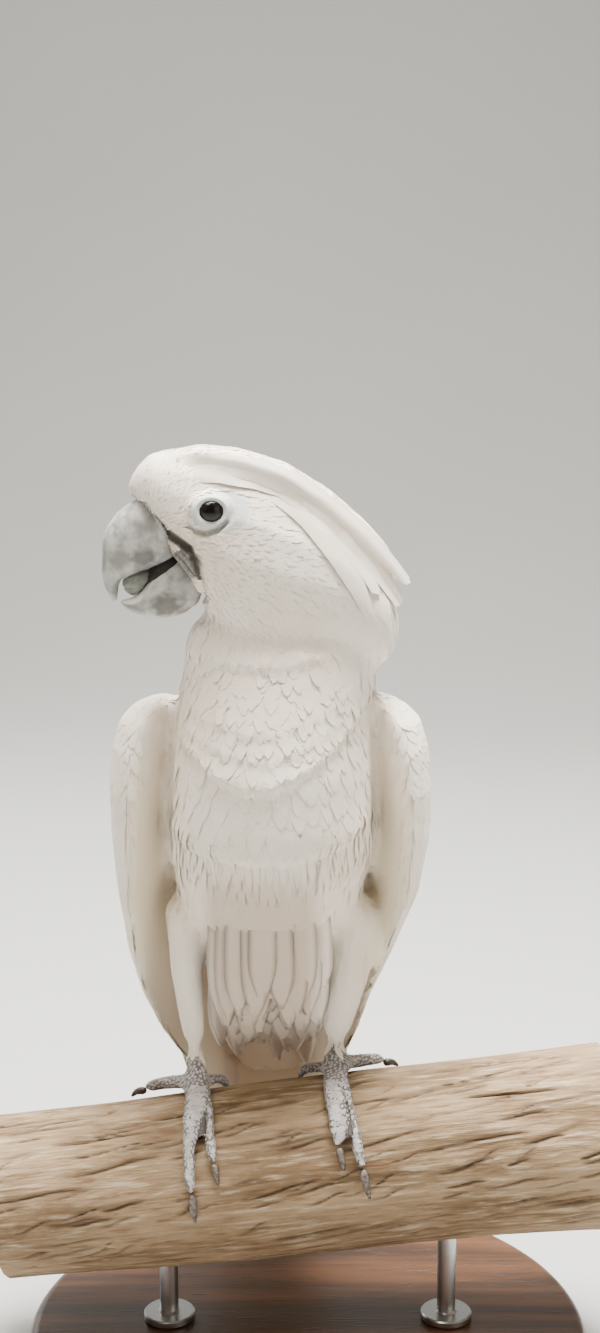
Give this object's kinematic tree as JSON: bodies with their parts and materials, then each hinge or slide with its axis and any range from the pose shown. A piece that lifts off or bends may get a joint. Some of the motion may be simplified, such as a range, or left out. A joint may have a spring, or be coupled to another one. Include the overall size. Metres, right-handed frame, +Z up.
{
  "type": "perched cockatoo display model",
  "caption": "Life-size white cockatoo with folded crest, head turned aside and bill ajar, gripping a short cut log that a round base and rods hold up.",
  "frame": {"origin": "middle of the underside of the stand's round base", "axes": "+Z up; the breast faces -Y; the head is turned so that the bill points to -X; the log runs along X and rises towards +X"},
  "size_m": [0.2682, 0.24, 0.3905],
  "materials": {
    "plumage": "matt white powdery feathers, faint cream in the hollows",
    "bill": "grey horn dulled by powder",
    "cere": "bare grey-brown skin, finely creased",
    "tongue": "dark grey, smooth and moist",
    "eye": "very dark brown, wet gloss",
    "foot_skin": "pale grey pebbled scales",
    "claw": "dark grey-brown horn",
    "bark": "weathered barkless wood with long cracks",
    "rod_steel": "brushed",
    "base_wood": "oiled walnut"
  },
  "bodies": {
    "root": {"head": "plumage", "crest": "plumage", "neck": "plumage", "trunk": "plumage", "tail": "plumage", "wing_left": "plumage", "wing_right": "plumage", "thigh_left": "plumage", "thigh_right": "plumage", "bill_upper": "bill", "bill_lower": "bill", "cere": "cere", "tongue": "tongue", "eye_left": "eye", "eye_right": "eye", "foot_left": "foot_skin", "foot_right": "foot_skin", "claw_left_1": "claw", "claw_left_2": "claw", "claw_left_3": "claw", "claw_left_4": "claw", "claw_right_1": "claw", "claw_right_2": "claw", "claw_right_3": "claw", "claw_right_4": "claw", "perch_log": "bark", "stand_rod_1": "rod_steel", "stand_rod_2": "rod_steel", "stand_base": "base_wood"}
  },
  "joints": []
}
